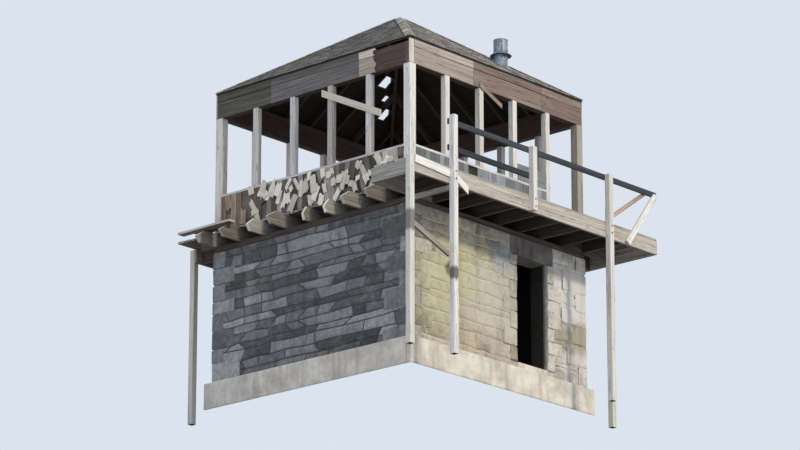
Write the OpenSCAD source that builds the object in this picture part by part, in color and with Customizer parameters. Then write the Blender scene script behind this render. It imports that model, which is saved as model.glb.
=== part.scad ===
// Fire lookout tower: an open timber cab with a hip roof and a catwalk on a rubble stone base.
// Front is -Y, the uphill end of the catwalk is at -X, and z = 0 is the lowest ground that a wall meets.

/* [Stone base] */
// Outer width of the square stone base and of the cab that stands on it
tower_side = 4270; // [3600:10:5000]
// Thickness of the rubble walls
wall_t = 350; // [250:10:450]
// Width of the doorway in the front wall
door_w = 760; // [650:10:1100]
// Height of the doorway from its threshold to the lintel
door_h = 1770; // [1600:10:1850]
// Wall between the doorway and the right-hand corner
door_corner = 955; // [560:5:1300]
// Step from the ground floor up to the threshold
threshold_step = 20; // [0:5:60]
// Thickness of the ground floor slab
slab_t = 100; // [80:5:150]
// Length of the lintel that rests on the wall at each side of the doorway
lintel_bearing = 150; // [80:5:200]
// How far the footing stands proud of the walls, outside and inside
footing_proud = 100; // [40:5:150]
// Height of the footing
footing_h = 440; // [300:10:480]

/* [Floor framing] */
// Top of the cab floor and of the catwalk above the lowest ground
floor_z = 3000; // [2900:10:3400]
// Thickness of the floor and deck boards
board_t = 38; // [25:1:50]
// Depth of the joists
joist_h = 235; // [180:5:260]
// Thickness of the joists, outriggers and rims
joist_t = 50; // [38:1:75]
// Number of joist spaces across the tower
joist_bays = 8; // [6:1:10]
// Height of the wall plates on the stone
plate_h = 90; // [50:5:120]
// Width of the wall plates
plate_w = 200; // [120:5:240]

/* [Catwalk] */
// Width of the catwalk from the cab wall to the outside of its rim
walk_w = 850; // [700:10:1100]
// Side of the square posts that carry the catwalk
post_w = 100; // [80:5:130]
// Distance from a corner of the tower to its nearest full support post
support_inset = 445; // [300:5:700]
// The same distance along the right-hand side, whose posts stand nearer to the corners
side_support_inset = 185; // [100:5:700]
// Top of the railing above the deck
rail_h = 790; // [700:10:1000]
// Height of the rail boards
rail_w = 90; // [60:5:120]
// Thickness of the rail boards and braces
rail_t = 40; // [25:1:50]
// Top of the middle rail above the deck
mid_rail_h = 365; // [250:5:450]

/* [Cab] */
// Top of the window sills above the cab floor
sill_h = 600; // [450:10:800]
// Underside of the headers above the cab floor
head_h = 1930; // [1800:10:2000]
// Top edge of the eaves above the cab floor
eave_h = 2390; // [2340:10:2600]
// Number of window bays in each side
bays = 5; // [4:1:6]
// Side of the square corner posts
corner_w = 140; // [110:5:180]
// Side of the square mullion posts
mullion_w = 100; // [70:5:110]
// Thickness of the low walls under the windows
low_wall_t = 100; // [70:5:110]
// Thickness of the sill boards
sill_t = 40; // [25:1:60]
// Thickness of the facing boards over the headers
facing_t = 30; // [18:1:45]
// Length of the facing that is missing at the near end of the left side
facing_gap = 740; // [300:10:1200]

/* [Roof] */
// Rise of the hip roof from its eaves to its peak
roof_rise = 1400; // [1000:10:1700]
// Thickness of the roof boards and shingles together
roof_t = 45; // [30:1:60]
// Depth of the rafters, square to the slope
rafter_h = 100; // [90:5:160]
// Thickness of the rafters
rafter_t = 50; // [38:1:60]
// Spacing of the jack rafters, counted from the middle of each side
rafter_step = 550; // [400:10:620]
// Outside diameter of the stovepipe
pipe_d = 240; // [150:10:260]
// Wall of the stovepipe
pipe_t = 4; // [2:0.5:8]
// Height of the stovepipe above the roof where it comes through
pipe_h = 420; // [300:10:700]

/* [Hidden] */

// Saw gap between timbers that meet end to end
gap = 2;
// Running clearance round the stovepipe, its length below the roof, and the width of its flashing around it
pipe_gap = 1;
pipe_below = 120;
flashing = 80;
// Height above every piece, for the boxes that cut them
sky = 12000;
// Broken outriggers at the left: the longest, and the shortest with the steps that make the others uneven
stub_max = 460;
stub_min = 150;
stub_step = 110;
stub_half_step = 35;
// Slant of their broken ends, as shares of the length at the top and bottom, and of the depth at the tip
stub_top = 0.55;
stub_foot = 0.8;
stub_tip = 0.45;
// Place where the back catwalk has broken off, and the stub of the joist that is left beyond it
walk_back_end = -1740;
joist_stub = 300;
// Places where the top rails have broken off, along the right side and along the back
side_rail_end = 200;
back_rail_end = -1000;
// Holes beside the back right hip, from the highest to the lowest: their ends along x and along y
roof_holes = [[[690, 890], [938, 1138]], [[1000, 1190], [1239, 1339]], [[1220, 1390], [1439, 1640]]];
// Top of the brace at the near corner, measured down from the joists, and its fall
brace_drop = 780;
brace_fall = 310;
// Slant of the broken near end of the left facing, and how far the second post rises above the top rail
facing_slant = 60;
facing_slant_top = 20;
post_over_rail = 50;
// Width of the short trim over the corner of the headers
trim_w = 100;
// Thickness and width of the loose boards
batten_t = 25;
batten_w = 80;
// Hanging batten and broken strut: depths of their ends below the headers, their runs past a mullion,
// and the width of the batten
batten_low = 660;
batten_high = 40;
batten_past_near = 290;
batten_past_far = 160;
hung_batten_w = 120;
strut_low = 150;
strut_run = 480;
// Height of the board that is left over a sill
bay_board_h = 280;
// Ends of the middle rail that hangs at the right, measured back from the corner and up from the deck
hung_rail_far = 1080;
hung_rail_near = 250;
hung_rail_low = 200;
// Trim over the near end of the front rim: width, sag, and how far its broken end hangs out and down
rim_trim_w = 130;
rim_trim_sag = 50;
rim_trim_out = 330;
rim_trim_drop = 230;
// Width of the boards of the left catwalk, and how far they reach before and behind the back corner
deck_board_w = 140;
scrap_front = 690;
scrap_back = 480;

half = tower_side / 2;
out = half + walk_w;
inner = half - wall_t;
deck_z = floor_z - board_t;
joist_z = deck_z - joist_h;
wall_top = joist_z - plate_h;
door_right = half - door_corner;
door_left = door_right - door_w;
slab_top = footing_h + slab_t;
threshold_z = slab_top + threshold_step;
door_top = threshold_z + door_h;

joist_step = (tower_side - joist_t) / joist_bays;
// Last joist that runs the whole way from front to back
inner_joist = half - joist_t / 2 - joist_step;
support_x = half - support_inset;
side_support_y = half - side_support_inset;
mid_post_x = (support_x - half) / 2;

sill_z = floor_z + sill_h;
head_z = floor_z + head_h;
eave_z = floor_z + eave_h;
rail_z = floor_z + rail_h;
bay_step = (tower_side - corner_w) / bays;

// Slope of the roof, and thicknesses measured straight down through it
slope = roof_rise / half;
tilt = atan(slope);
roof_v = roof_t / cos(tilt);
rafter_v = rafter_h / cos(tilt);
header_t = corner_w - facing_t;
header_in = half - corner_w;
rafter_end = half - facing_t;
// Headers end where the undersides of the rafters reach their inner faces
header_top = eave_z - roof_v - rafter_v + slope * corner_w;
// Half of a hip rafter's thickness, measured along the walls
hip_side = rafter_t / 2 * sqrt(2);
pipe_x = 1.5 * rafter_step;
pipe_y = -half * 0.7;
flashing_w = pipe_d + 2 * flashing;

// Place of post number i along a side, counted from the left or from the front
function bay_at(i) = -half + corner_w / 2 + i * bay_step;
function joist_at(i) = -half + joist_t / 2 + i * joist_step;
// Height of the top of the roof, and of the top of the rafters, at a distance from the middle
function roof_top(d) = eave_z + roof_rise - slope * d;
function rafter_top(d) = roof_top(d) - roof_v;
// Broken ends of the outriggers at the left, as lengths beyond the wall. The last two are the longest.
function stub(i) = i > joist_bays - 2 ? stub_max
    : min(stub_max, stub_min + stub_step * ((i * 7) % 4) + stub_half_step * (i % 3));

// A box between two corners
module box(a, b) {
    translate(a) cube(b - a);
}

// Outline of a sloping board with upright ends, from the top of one end to the top of the other
module slat(a, b, w) {
    polygon([a, [a.x, a.y - w], [b.x, b.y - w], b]);
}

// Outline of height against distance along y, drawn out along x from a to b
module along_x(a, b) {
    translate([a, 0, 0]) rotate([90, 0, 90]) linear_extrude(b - a) children();
}

module stone_colour() {
    color([0.72, 0.70, 0.63]) children();
}

module timber_colour() {
    color([0.66, 0.65, 0.62]) children();
}

module dark_timber_colour() {
    color([0.33, 0.31, 0.29]) children();
}

// Stone base
module base_left_wall() {
    stone_colour() box([-half, -half, 0], [-inner, half, wall_top]);
}

module base_right_wall() {
    stone_colour() box([inner, -half, 0], [half, half, wall_top]);
}

module base_back_wall() {
    stone_colour() box([-inner, inner, 0], [inner, half, wall_top]);
}

module base_front_left() {
    stone_colour() box([-inner, -half, 0], [door_left, -inner, door_top]);
}

module base_front_right() {
    stone_colour() box([door_right, -half, 0], [inner, -inner, door_top]);
}

// Courses level with the lintel, to its left and right
module base_front_top() {
    stone_colour() {
        box([-inner, -half, door_top], [door_left - lintel_bearing, -inner, wall_top]);
        box([door_right + lintel_bearing, -half, door_top], [inner, -inner, wall_top]);
    }
}

module lintel() {
    color([0.42, 0.41, 0.40])
        box([door_left - lintel_bearing, -half, door_top], [door_right + lintel_bearing, -inner, wall_top]);
}

module threshold() {
    stone_colour() box([door_left, -half, 0], [door_right, -inner, threshold_z]);
}

module base_floor() {
    color([0.60, 0.58, 0.54]) box([-inner, -inner, footing_h], [inner, inner, slab_top]);
}

// Concrete footing in four lengths outside the walls, and the ledge inside them that carries the floor
module footing() {
    proud = half + footing_proud;
    ledge = inner - footing_proud;
    color([0.74, 0.71, 0.67]) {
        for (s = [0, 180])
            rotate([0, 0, s]) {
                box([-proud, -proud, 0], [proud, -half, footing_h]);
                box([-inner, -inner, 0], [inner, -ledge, footing_h]);
            }
        for (s = [90, 270])
            rotate([0, 0, s]) {
                box([-half + gap, -proud, 0], [half - gap, -half, footing_h]);
                box([-ledge + gap, -inner, 0], [ledge - gap, -ledge, footing_h]);
            }
    }
}

// Floor framing
module wall_plates() {
    dark_timber_colour() {
        for (s = [0, 180])
            rotate([0, 0, s]) box([-half, -half, wall_top], [half, -half + plate_w, joist_z]);
        for (s = [90, 270])
            rotate([0, 0, s])
                box([-half + plate_w + gap, -half, wall_top],
                    [half - plate_w - gap, -half + plate_w, joist_z]);
    }
}

// Joists run from front to back and carry both overhangs, and short ones close the corners.
// The one at the back left has broken off.
module floor_joists() {
    end = out - joist_t;
    dark_timber_colour() {
        for (i = [1:joist_bays - 1])
            box([joist_at(i) - joist_t / 2, -end, joist_z], [joist_at(i) + joist_t / 2, end, deck_z]);
        for (i = [0, joist_bays]) {
            box([joist_at(i) - joist_t / 2, -end, joist_z], [joist_at(i) + joist_t / 2, -half, deck_z]);
            box([joist_at(i) - joist_t / 2, half, joist_z],
                [joist_at(i) + joist_t / 2, i == 0 ? half + joist_stub : end, deck_z]);
        }
    }
}

// Outriggers lie across the side wall and butt on the last full joist.
// At the left only the first is whole, and the others have broken off at a slant.
module left_outriggers() {
    start = inner_joist + joist_t / 2;
    dark_timber_colour()
        for (i = [0:joist_bays])
            if (i == 0)
                box([-out + joist_t, joist_at(i) - joist_t / 2, joist_z],
                    [-start, joist_at(i) + joist_t / 2, deck_z]);
            else
                translate([0, joist_at(i) + joist_t / 2, 0]) rotate([90, 0, 0]) linear_extrude(joist_t)
                    polygon([[-start, joist_z], [-start, deck_z], [-half - stub(i) * stub_top, deck_z],
                        [-half - stub(i), joist_z + joist_h * stub_tip],
                        [-half - stub(i) * stub_foot, joist_z]]);
}

module right_outriggers() {
    start = inner_joist + joist_t / 2;
    dark_timber_colour()
        for (i = [0:joist_bays])
            box([start, joist_at(i) - joist_t / 2, joist_z],
                [out - joist_t, joist_at(i) + joist_t / 2, deck_z]);
}

module front_rim() {
    color([0.66, 0.63, 0.58]) box([-out, -out, joist_z], [out, -out + joist_t, deck_z]);
}

// Rims of the right and back catwalks, and of the corner that is left at the front of the left side
module side_rims() {
    dark_timber_colour() {
        box([out - joist_t, -out + joist_t, joist_z], [out, out - joist_t - gap, deck_z]);
        box([walk_back_end, out - joist_t, joist_z], [out, out, deck_z]);
        box([-out, -out + joist_t, joist_z], [-out + joist_t, -half + joist_t, deck_z]);
    }
}

module cab_floor() {
    timber_colour() box([-half, -half, deck_z], [half, half, floor_z]);
}

module walk_front() {
    timber_colour() box([-out, -out, deck_z], [out, -half, floor_z]);
}

module walk_right() {
    timber_colour() box([half, -half, deck_z], [out, out, floor_z]);
}

module walk_back() {
    timber_colour() box([walk_back_end, half, deck_z], [half, out, floor_z]);
}

// Catwalk supports stand on the ground outside the rims
module support_posts() {
    timber_colour() {
        box([-out - post_w, -out, 0], [-out, -out + post_w, floor_z]);
        box([-half - post_w / 2, -out - post_w, 0], [-half + post_w / 2, -out, rail_z + post_over_rail]);
        box([support_x - post_w / 2, -out - post_w, 0], [support_x + post_w / 2, -out, rail_z]);
        for (y = [-side_support_y, side_support_y])
            box([out, y - post_w / 2, 0], [out + post_w, y + post_w / 2, rail_z]);
        box([support_x - post_w / 2, out, 0], [support_x + post_w / 2, out + post_w, rail_z]);
        box([-support_x - post_w / 2, out, 0], [-support_x + post_w / 2, out + post_w, deck_z]);
    }
}

// Railing posts that start at the bottom of the rim
module rail_posts() {
    timber_colour() {
        box([mid_post_x - post_w / 2, -out - post_w, joist_z], [mid_post_x + post_w / 2, -out, rail_z]);
        box([mid_post_x - post_w / 2, out, joist_z], [mid_post_x + post_w / 2, out + post_w, rail_z]);
        box([out - post_w, out, joist_z], [out, out + post_w, rail_z]);
    }
}

// What is left of the top rails, on the insides of the posts, and the one middle rail
module rails() {
    low = rail_z - rail_w;
    mid = floor_z + mid_rail_h;
    color([0.30, 0.30, 0.31]) {
        box([-half - post_w / 2, -out, low], [out, -out + rail_t, rail_z]);
        box([out - rail_t, side_rail_end, low], [out, out, rail_z]);
        box([back_rail_end, out - rail_t, low], [out - rail_t - gap, out, rail_z]);
        box([-half - post_w / 2, -out, mid - rail_w], [mid_post_x + post_w / 2, -out + rail_t, mid]);
    }
}

// Corner post of the railing, broken and leaning from the rim to the end of the top rail
module leaning_post() {
    run = out - post_w - half;
    rise = rail_z - joist_z - rail_w;
    lean = atan(run / rise);
    length = rise / cos(lean);
    color([0.80, 0.80, 0.78])
        translate([half, -out - joist_t, joist_z + rail_w / 2]) rotate([0, lean, 0])
            cube([post_w, joist_t, length]);
}

// Brace between the two posts at the near corner, and the ledger from the second one back to the wall
module walk_braces() {
    brace_z = joist_z - brace_drop;
    run = walk_w - post_w / 2;
    timber_colour() {
        box([-half, -out, joist_z - rail_w], [-half + rail_t, -half, joist_z]);
        translate([0, -out + rail_t, 0]) rotate([90, 0, 0]) linear_extrude(rail_t)
            slat([-out, brace_z], [-out + run, brace_z - brace_fall], rail_w);
    }
}

// Corner posts, and the short trim that covers the corner of the headers at the near post
module corner_posts() {
    trim_top = eave_z - roof_v;
    color([0.83, 0.83, 0.80]) {
        for (x = [-half, half - corner_w], y = [-half, half - corner_w])
            translate([x, y, floor_z]) cube([corner_w, corner_w, head_h]);
        box([-half, -half, head_z + gap], [-half + trim_w, -half + facing_t, trim_top]);
    }
}

// Mullions of the front and back. The last one at the front reaches the floor beside the open bay.
module front_back_mullions() {
    m = mullion_w / 2;
    timber_colour()
        for (i = [1:bays - 1]) {
            low = i == bays - 1 ? floor_z : sill_z;
            box([bay_at(i) - m, -half, low], [bay_at(i) + m, -half + mullion_w, head_z]);
            box([bay_at(i) - m, half - mullion_w, sill_z], [bay_at(i) + m, half, head_z]);
        }
}

// Mullions of the left and right. The first one at the right reaches the floor beside the open bay.
module side_mullions() {
    m = mullion_w / 2;
    timber_colour()
        for (i = [1:bays - 1]) {
            low = i == 1 ? floor_z : sill_z;
            box([-half, bay_at(i) - m, sill_z], [-half + mullion_w, bay_at(i) + m, head_z]);
            box([half - mullion_w, bay_at(i) - m, low], [half, bay_at(i) + m, head_z]);
        }
}

module front_low_wall() {
    color([0.60, 0.62, 0.64])
        box([-half + corner_w, -half, floor_z],
            [bay_at(bays - 1) - mullion_w / 2, -half + low_wall_t, sill_z - sill_t]);
}

module left_low_wall() {
    color([0.58, 0.54, 0.50])
        box([-half, -half + corner_w, floor_z], [-half + low_wall_t, half - corner_w, sill_z - sill_t]);
}

module right_low_wall() {
    color([0.60, 0.60, 0.60])
        box([half - low_wall_t, bay_at(1) + mullion_w / 2, floor_z],
            [half, half - corner_w, sill_z - sill_t]);
}

module back_low_wall() {
    color([0.60, 0.60, 0.60])
        box([-half + corner_w, half - low_wall_t, floor_z], [half - corner_w, half, sill_z - sill_t]);
}

// Sill boards between the corner posts, as deep as the posts
module sills() {
    low = sill_z - sill_t;
    timber_colour() {
        box([-half + corner_w, -half, low], [bay_at(bays - 1) - mullion_w / 2, -half + corner_w, sill_z]);
        box([-half, -half + corner_w, low], [-half + corner_w, half - corner_w, sill_z]);
        box([half - corner_w, bay_at(1) + mullion_w / 2, low], [half, half - corner_w, sill_z]);
        box([-half + corner_w, half - corner_w, low], [half - corner_w, half, sill_z]);
    }
}

// Header beams on the corner posts and mullions, set back by the facing
module headers() {
    far = half - facing_t;
    color([0.34, 0.24, 0.20]) {
        for (s = [0, 180])
            rotate([0, 0, s]) box([-far, -far, head_z], [far, -header_in, header_top]);
        for (s = [90, 270])
            rotate([0, 0, s])
                box([-header_in + gap, -far, head_z], [header_in - gap, -header_in, header_top]);
    }
}

module front_facing() {
    color([0.64, 0.57, 0.53])
        box([-half + trim_w + gap, -half, head_z], [half, -half + facing_t, eave_z - roof_v]);
}

// The near end of this facing has broken off at a slant
module left_facing() {
    top = eave_z - roof_v;
    near = -half + facing_gap;
    color([0.36, 0.35, 0.34])
        along_x(-half, -half + facing_t)
            polygon([[near + facing_slant, head_z], [half - facing_t - gap, head_z],
                [half - facing_t - gap, top], [near + facing_slant_top, top],
                [near - facing_slant, (head_z + top) / 2]]);
}

module rear_facings() {
    top = eave_z - roof_v;
    color([0.45, 0.43, 0.41]) {
        box([-half, half - facing_t, head_z], [half, half, top]);
        box([half - facing_t, -half + facing_t, head_z], [half, half - facing_t - gap, top]);
    }
}

// Hip rafters, with backed tops and seats on the corners of the headers, cut to meet at the peak
module hip_rafters() {
    e = rafter_end;
    // Distance along the diagonal, and the drop of the hip over that distance
    far = half * sqrt(2);
    hip_slope = roof_rise / far;
    peak = rafter_top(0);
    dark_timber_colour()
        for (s = [0, 90, 180, 270])
            rotate([0, 0, s]) intersection() {
                linear_extrude(sky)
                    polygon([[gap, gap], [hip_side + gap, gap], [e, e - hip_side], [e, e],
                        [e - hip_side, e], [gap, hip_side + gap]]);
                rotate([90, 0, 0]) translate([0, 0, -half]) linear_extrude(half)
                    polygon([[0, header_top], [half, header_top], [half, rafter_top(half)], [0, peak]]);
                rotate([90, 0, 90]) linear_extrude(half)
                    polygon([[0, header_top], [half, header_top], [half, rafter_top(half)], [0, peak]]);
                rotate([0, 0, 45]) rotate([90, 0, 0])
                    translate([0, 0, -rafter_t]) linear_extrude(2 * rafter_t)
                        polygon([[0, peak - rafter_v], [far, peak - rafter_v - hip_slope * far],
                            [far, sky], [0, sky]]);
            }
}

// Outline of a rafter from the middle to the header, with its seat on the header
module rafter_outline() {
    e = rafter_end;
    polygon([[0, rafter_top(0) - rafter_v], [header_in, header_top], [e, header_top],
        [e, rafter_top(e)], [0, rafter_top(0)]]);
}

// Jack rafters end on the faces of the hips, and the middle one of each side runs to the peak
module jack_rafters() {
    last = floor((half - rafter_t - 4 * hip_side) / rafter_step);
    dark_timber_colour()
        for (s = [0, 90, 180, 270], i = [-last:last]) {
            c = i * rafter_step;
            a = abs(c) - rafter_t / 2;
            b = abs(c) + rafter_t / 2;
            rotate([0, 0, s]) intersection() {
                translate([0, c + rafter_t / 2, 0]) rotate([90, 0, 0])
                    linear_extrude(rafter_t) rafter_outline();
                linear_extrude(sky)
                    if (i == 0)
                        polygon([[hip_side, 0], [b + hip_side, -b], [half, -b], [half, b],
                            [b + hip_side, b]]);
                    else
                        polygon([[a + hip_side, sign(i) * a], [half, sign(i) * a], [half, sign(i) * b],
                            [b + hip_side, sign(i) * b]]);
            }
        }
}

// One slope of the roof, over the side that faces -y, mitred along the hips
module roof_slope() {
    intersection() {
        along_x(-half, half)
            polygon([[-half, roof_top(half)], [0, roof_top(0)], [0, rafter_top(0)],
                [-half, rafter_top(half)]]);
        linear_extrude(sky) polygon([[-half, -half], [half, -half], [0, 0]]);
    }
}

module roof_front() {
    color([0.40, 0.40, 0.41]) difference() {
        roof_slope();
        translate([pipe_x, pipe_y, 0]) cylinder(h = sky, d = pipe_d + 2 * pipe_gap, $fn = 48);
    }
}

module roof_right() {
    color([0.40, 0.40, 0.41]) rotate([0, 0, 90]) roof_slope();
}

// Shingles and boards have gone in three places beside the hip at the back right
module roof_back() {
    color([0.40, 0.40, 0.41]) difference() {
        rotate([0, 0, 180]) roof_slope();
        for (h = roof_holes)
            box([h.x[0], h.y[0], 0], [h.x[1], h.y[1], sky]);
    }
}

module roof_left() {
    color([0.40, 0.40, 0.41]) rotate([0, 0, 270]) roof_slope();
}

// Galvanised pipe through the roof, in a flashing plate that lies on the slope
module stovepipe() {
    z = roof_top(-pipe_y);
    low = z - roof_v - pipe_below;
    plate_t = 3;
    color([0.60, 0.66, 0.72]) difference() {
        union() {
            translate([pipe_x, pipe_y, low]) cylinder(h = z + pipe_h - low, d = pipe_d, $fn = 48);
            translate([pipe_x, pipe_y, z]) rotate([tilt, 0, 0])
                translate([-flashing_w / 2, -flashing_w / 2, 0]) cube([flashing_w, flashing_w, plate_t]);
        }
        translate([pipe_x, pipe_y, 0]) cylinder(h = sky, d = pipe_d - 2 * pipe_t, $fn = 48);
    }
}

// A sloping board on the front, whose back lies at y
module front_slat(y, a, b, w) {
    translate([0, y, 0]) rotate([90, 0, 0]) linear_extrude(batten_t) slat(a, b, w);
}

// Boards that have come loose and hang where they are nailed
module loose_boards() {
    p2_left = -half - post_w / 2;
    p2_right = -half + post_w / 2;
    timber_colour() {
        // Batten across two mullions of the left side
        along_x(-half - batten_t, -half)
            slat([bay_at(1) - batten_past_near, head_z - batten_low],
                [bay_at(2) + batten_past_far, head_z - batten_high], hung_batten_w);
        // Broken strut under the front header
        front_slat(-half, [bay_at(2) - mullion_w / 2, head_z + batten_w],
            [bay_at(2) + strut_run, head_z - strut_low], batten_w);
        // Board that is left over the sill in the fourth bay of the front
        box([bay_at(bays - 2) + mullion_w / 2, -half, sill_z],
            [bay_at(bays - 1) - mullion_w / 2, -half + batten_t, sill_z + bay_board_h]);
        // Middle rail of the last bay, hanging from the top rail
        front_slat(-out + rail_t + batten_t, [out - hung_rail_far, floor_z + hung_rail_low],
            [out - hung_rail_near, rail_z - batten_t], batten_w);
        // Last boards of the left catwalk, on its two longest stubs
        for (i = [0, 1]) {
            x = -half - stub_max / 2 + i * (deck_board_w + gap);
            box([x - deck_board_w, half - scrap_front * (1 - i / 6), deck_z],
                [x, half + scrap_back / (1 + i), floor_z]);
        }
        // Trim over the near end of the front rim, broken at the support post
        front_slat(-out, [-out, floor_z], [p2_left, floor_z - rim_trim_sag], rim_trim_w);
        front_slat(-out, [p2_right, floor_z - rim_trim_sag],
            [p2_right + rim_trim_out, floor_z - rim_trim_drop], rim_trim_w);
    }
}

base_left_wall();
base_right_wall();
base_back_wall();
base_front_left();
base_front_right();
base_front_top();
lintel();
threshold();
base_floor();
footing();
wall_plates();
floor_joists();
left_outriggers();
right_outriggers();
front_rim();
side_rims();
cab_floor();
walk_front();
walk_right();
walk_back();
support_posts();
rail_posts();
rails();
leaning_post();
walk_braces();
corner_posts();
front_back_mullions();
side_mullions();
front_low_wall();
left_low_wall();
right_low_wall();
back_low_wall();
sills();
headers();
front_facing();
left_facing();
rear_facings();
hip_rafters();
jack_rafters();
roof_front();
roof_left();
roof_right();
roof_back();
stovepipe();
loose_boards();
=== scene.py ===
import math
import random

import bpy
import numpy as np
from mathutils import Matrix, Vector


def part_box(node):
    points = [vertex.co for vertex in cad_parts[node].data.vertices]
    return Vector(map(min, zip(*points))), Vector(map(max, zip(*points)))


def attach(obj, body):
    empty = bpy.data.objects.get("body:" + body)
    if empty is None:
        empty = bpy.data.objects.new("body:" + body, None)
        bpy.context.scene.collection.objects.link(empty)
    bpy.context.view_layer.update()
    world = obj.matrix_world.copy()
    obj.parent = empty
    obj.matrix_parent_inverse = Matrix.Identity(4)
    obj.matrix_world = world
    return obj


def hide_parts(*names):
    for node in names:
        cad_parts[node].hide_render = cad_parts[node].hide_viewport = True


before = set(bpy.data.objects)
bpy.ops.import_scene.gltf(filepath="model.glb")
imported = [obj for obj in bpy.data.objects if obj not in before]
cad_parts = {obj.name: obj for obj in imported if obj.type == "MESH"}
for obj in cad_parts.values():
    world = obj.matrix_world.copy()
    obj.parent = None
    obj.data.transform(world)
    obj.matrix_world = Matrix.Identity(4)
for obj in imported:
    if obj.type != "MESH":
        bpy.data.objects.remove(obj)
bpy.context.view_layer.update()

X, Y, Z = Vector((1, 0, 0)), Vector((0, 1, 0)), Vector((0, 0, 1))
move, turned = Matrix.Translation, Matrix.Rotation
scene, tools = bpy.context.scene, bpy.context.tool_settings

# Main lines of the tower in metres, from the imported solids
half, wall_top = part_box("base_left_wall")[1].yz
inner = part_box("base_back_wall")[1].x
wall_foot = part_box("footing")[1].z - 0.02
(door_left, _, _), (door_right, _, door_foot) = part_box("threshold")
(lintel_left, _, door_head), (lintel_right, _, _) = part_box("lintel")
deck_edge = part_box("front_rim")[1].x
floor_under, floor_top = (corner.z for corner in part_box("cab_floor"))
low_wall_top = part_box("left_low_wall")[1].z
(front_left, _, facing_low), (front_right, _, facing_top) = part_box("front_facing")
roof_low, roof_peak = (corner.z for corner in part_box("roof_left"))


# Selecting and modelling

def only(piece):
    """Selects one piece alone and makes it active."""
    bpy.ops.object.select_all(action="DESELECT")
    piece.select_set(True)
    bpy.context.view_layer.objects.active = piece


def mode(name):
    bpy.ops.object.mode_set(mode=name)


def edit(piece, action="SELECT"):
    """Opens a piece in edit mode with all of it selected, or none of it."""
    only(piece)
    mode("EDIT")
    bpy.ops.mesh.select_all(action=action)


def begin(primitive, name, **sizes):
    """Starts a piece from a primitive."""
    primitive(**sizes)
    made = bpy.context.active_object
    made.name = name
    return made


def modifier(piece, kind, **settings):
    """Adds, sets and applies a modifier."""
    only(piece)
    made = piece.modifiers.new(kind.title(), kind)
    for key, value in settings.items():
        setattr(made, key, value)
    bpy.ops.object.modifier_apply(modifier=made.name)


def ease(piece, arris, segments=2, angle=30):
    """Eases arrises where faces turn by more than an angle in degrees."""
    limit = {"limit_method": "ANGLE", "angle_limit": math.radians(angle)}
    modifier(piece, "BEVEL", width=arris, segments=segments, **limit)


def slice_off(piece, point, normal):
    """Cuts off the side of a plane that its normal points to, and closes the cut."""
    edit(piece)
    bpy.ops.mesh.bisect(plane_co=point, plane_no=normal, use_fill=True, clear_outer=True)
    mode("OBJECT")


def placed(name, data):
    """Puts a new object in the scene."""
    made = bpy.data.objects.new(name, data)
    scene.collection.objects.link(made)
    return made


def copy_of(blank, matrix=None):
    """A copy with its own mesh, put in its place in the mesh."""
    made = placed(blank.name, blank.data.copy())
    if matrix is not None:
        made.data.transform(matrix)
    return made


def joined(parts, name):
    """Joins loose parts to one piece."""
    piece, *others = parts
    only(piece)
    for part in others:
        part.select_set(True)
    if others:
        bpy.ops.object.join()
    piece.name = piece.data.name = name
    return piece


def lines_up(*columns):
    """A turn to three lines at right angles to each other."""
    return Matrix(columns).transposed().to_4x4()


# What every piece gets at the end

def boards_of(mesh):
    """The number of the separate board that each point of a mesh belongs to."""
    ends = np.empty(2 * len(mesh.edges), int)
    mesh.edges.foreach_get("vertices", ends)
    one, two = ends.reshape(-1, 2).T
    label = np.arange(len(mesh.vertices))
    while True:
        low = np.minimum(label[one], label[two])
        new = label.copy()
        np.minimum.at(new, one, low)
        np.minimum.at(new, two, low)
        new = new[new]
        if (new == label).all():
            return np.unique(label, return_inverse=True)[1]
        label = new


def board_points(mesh):
    """The numbers and the places of the points of each separate board."""
    at = np.empty(3 * len(mesh.vertices))
    mesh.vertices.foreach_get("co", at)
    at = at.reshape(-1, 3)
    label = boards_of(mesh)
    order = np.argsort(label, kind="stable")
    cuts = np.searchsorted(label[order], np.arange(1, label.max() + 1))
    return [(mine, at[mine]) for mine in np.split(order, cuts)]


def mark(mesh, name, values, kind="FLOAT", domain="FACE"):
    """Writes a named value on each face or each point of a mesh."""
    field = "vector" if kind == "FLOAT_VECTOR" else "value"
    mesh.attributes.new(name, kind, domain).data.foreach_set(field, values)


def mark_grain(piece, seed):
    """Measures each board's points along its length, width and thickness from a chance start, for the
    grain, gives it a chance tone and marks the faces that look down."""
    mesh = piece.data
    draw = np.random.default_rng(seed).uniform
    grain, tone = np.empty((len(mesh.vertices), 3)), np.empty(len(mesh.vertices))
    for mine, at in board_points(mesh):
        points = at - at.mean(0)
        axes = np.linalg.eigh(points.T @ points)[1][:, ::-1]
        grain[mine] = points @ axes + draw(-40, 40, 3)
        tone[mine] = draw(0, 1)
    mark(mesh, "grain", grain.ravel(), "FLOAT_VECTOR", "POINT")
    mark(mesh, "tone", tone, domain="POINT")
    mark(mesh, "under", [max(0.0, -face.normal.z) for face in mesh.polygons])


def hand_over(piece, finish, slot, *nodes, seed=1):
    """Gives a piece its material, grain and body, and hides the solids that it stands for.
    The slot is not used.
    """
    piece.data.materials.clear()
    piece.data.materials.append(finish)
    mark_grain(piece, seed)
    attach(piece, "root")
    if nodes:
        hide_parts(*nodes)
    return piece


# Blanks, made once and copied

def cut_block(name, across, along):
    """A block one metre each way, with cuts where it can warp and break."""
    block = begin(bpy.ops.mesh.primitive_cube_add, name, size=1)
    for axis, cuts in ((X, across), (Y, along)):
        for cut in cuts:
            edit(block)
            bpy.ops.mesh.bisect(plane_co=axis * cut, plane_no=axis)
            mode("OBJECT")
    return block


board_blank = cut_block("board_blank", (-0.25, 0, 0.25), (-0.25, 0, 0.25))
shingle_blank = cut_block("shingle_blank", (-0.2, 0.15), ())
stone_blank = cut_block("stone_blank", (0,), (0,))


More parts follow.
